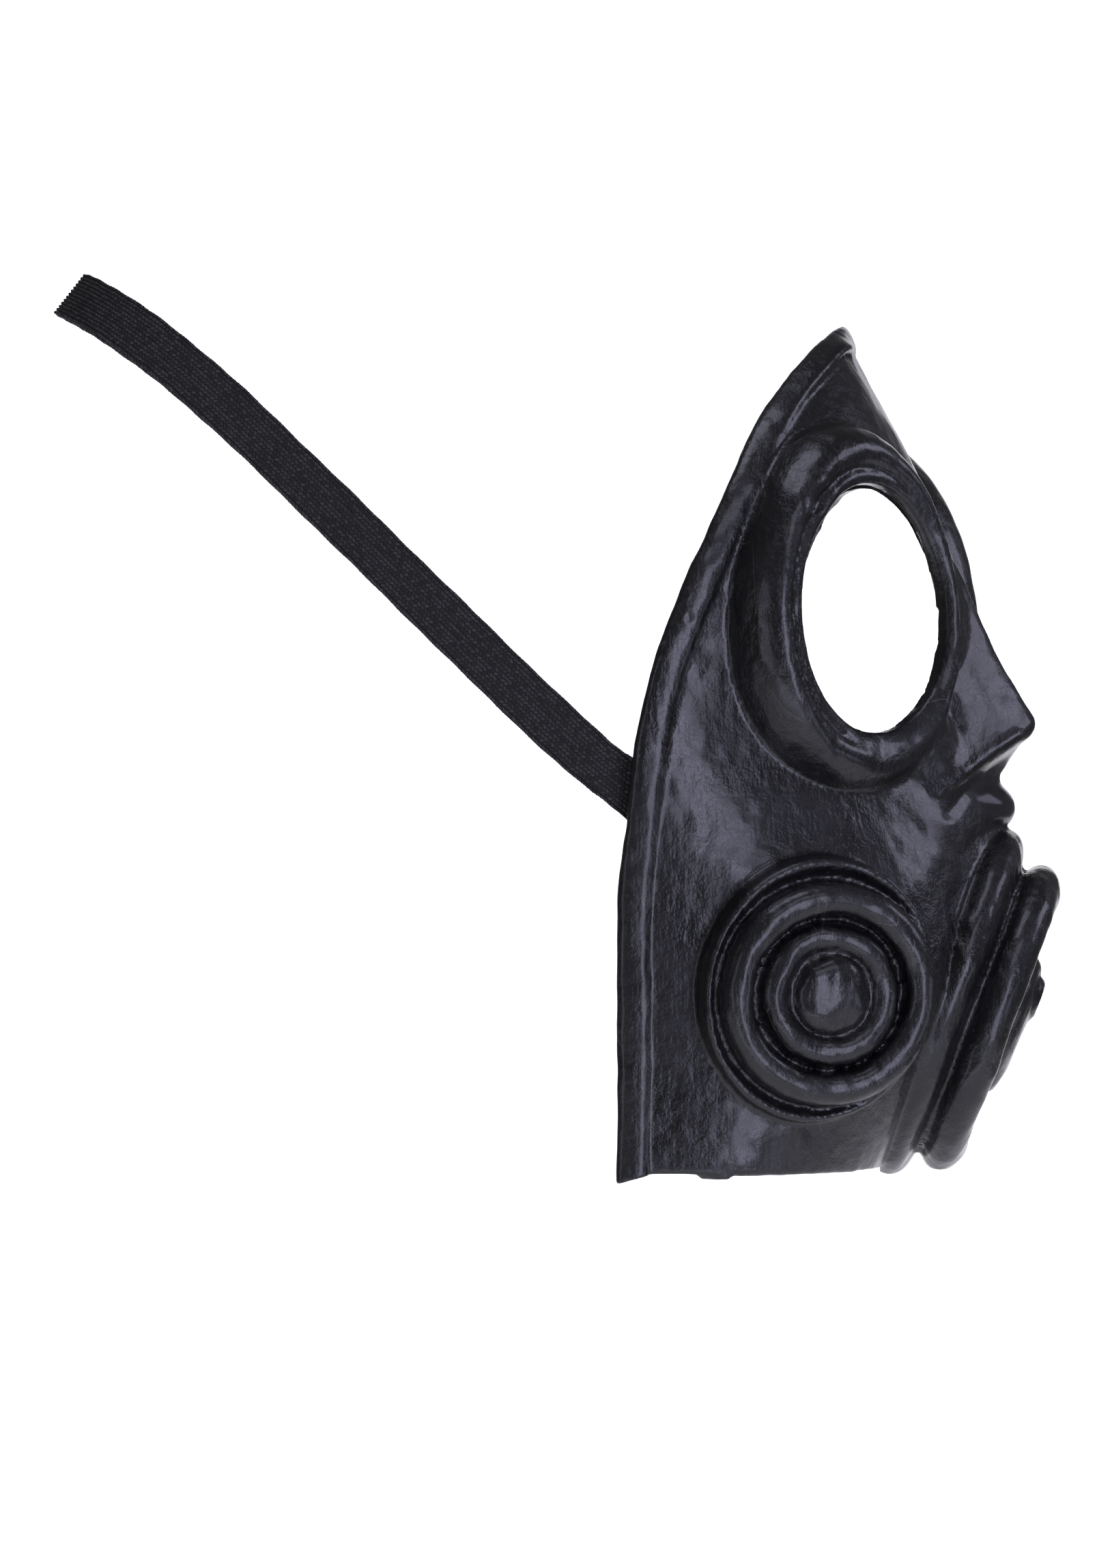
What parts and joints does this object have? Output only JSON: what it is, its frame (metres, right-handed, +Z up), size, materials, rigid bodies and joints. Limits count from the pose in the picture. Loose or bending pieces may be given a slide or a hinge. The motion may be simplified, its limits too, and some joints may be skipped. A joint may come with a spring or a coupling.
{
  "type": "gas mask style costume mask",
  "caption": "Hollow moulded latex full-face costume mask with open goggle rings, cheek canisters, a ribbed snout and an elastic head strap.",
  "frame": {"origin": "inside of the nose bridge at eye level, where the mask sits on a wearer's nose", "axes": "+Z up, the mask faces -Y, the strap runs back along +Y, the wearer's right is -X"},
  "size_m": [0.1814, 0.2956, 0.264],
  "materials": {
    "latex": "glossy black moulded latex",
    "elastic": "black knitted elastic",
    "staple_steel": "plain drawn wire"
  },
  "bodies": {
    "root": {"face_shell": "latex", "elastic_strap": "elastic", "staple_right": "staple_steel", "staple_left": "staple_steel"}
  },
  "joints": []
}
